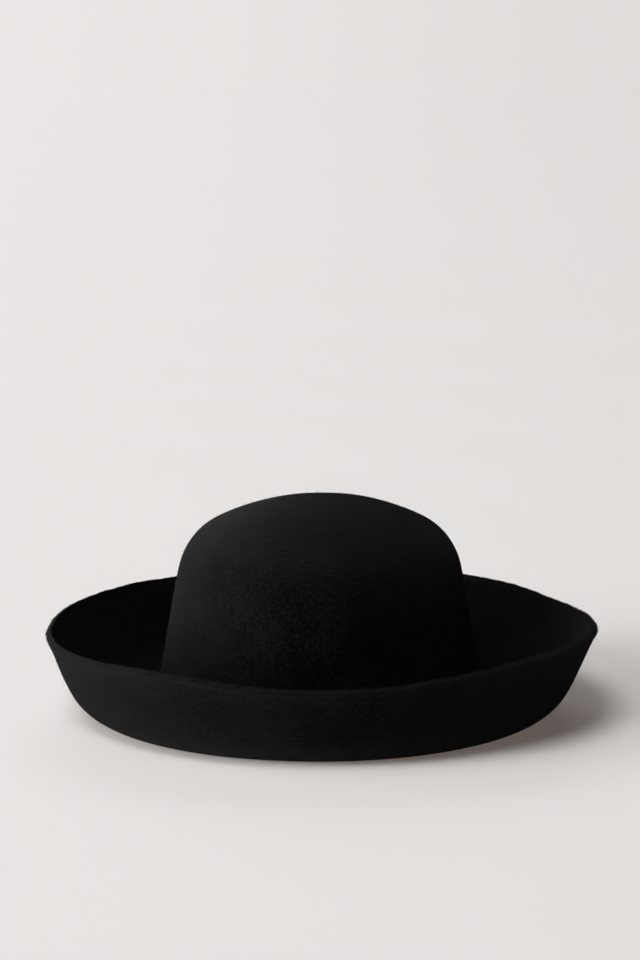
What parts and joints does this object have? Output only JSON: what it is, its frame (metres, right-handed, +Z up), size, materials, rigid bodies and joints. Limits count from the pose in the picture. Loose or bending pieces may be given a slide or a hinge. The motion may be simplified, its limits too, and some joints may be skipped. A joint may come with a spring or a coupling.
{
  "type": "felt hat",
  "caption": "Plain felt hat with a round blocked crown and a brim curled up all the way round, with a bare cut edge.",
  "frame": {"origin": "on the surface that the hat rests on, under the middle of the crown", "axes": "+X to the right as seen from the front, -Y towards the front, +Z up"},
  "size_m": [0.3005, 0.3353, 0.118],
  "materials": {
    "felt": "black wool felt, matt, with a short soft nap"
  },
  "bodies": {
    "root": {"felt_hat": "felt"}
  },
  "joints": []
}
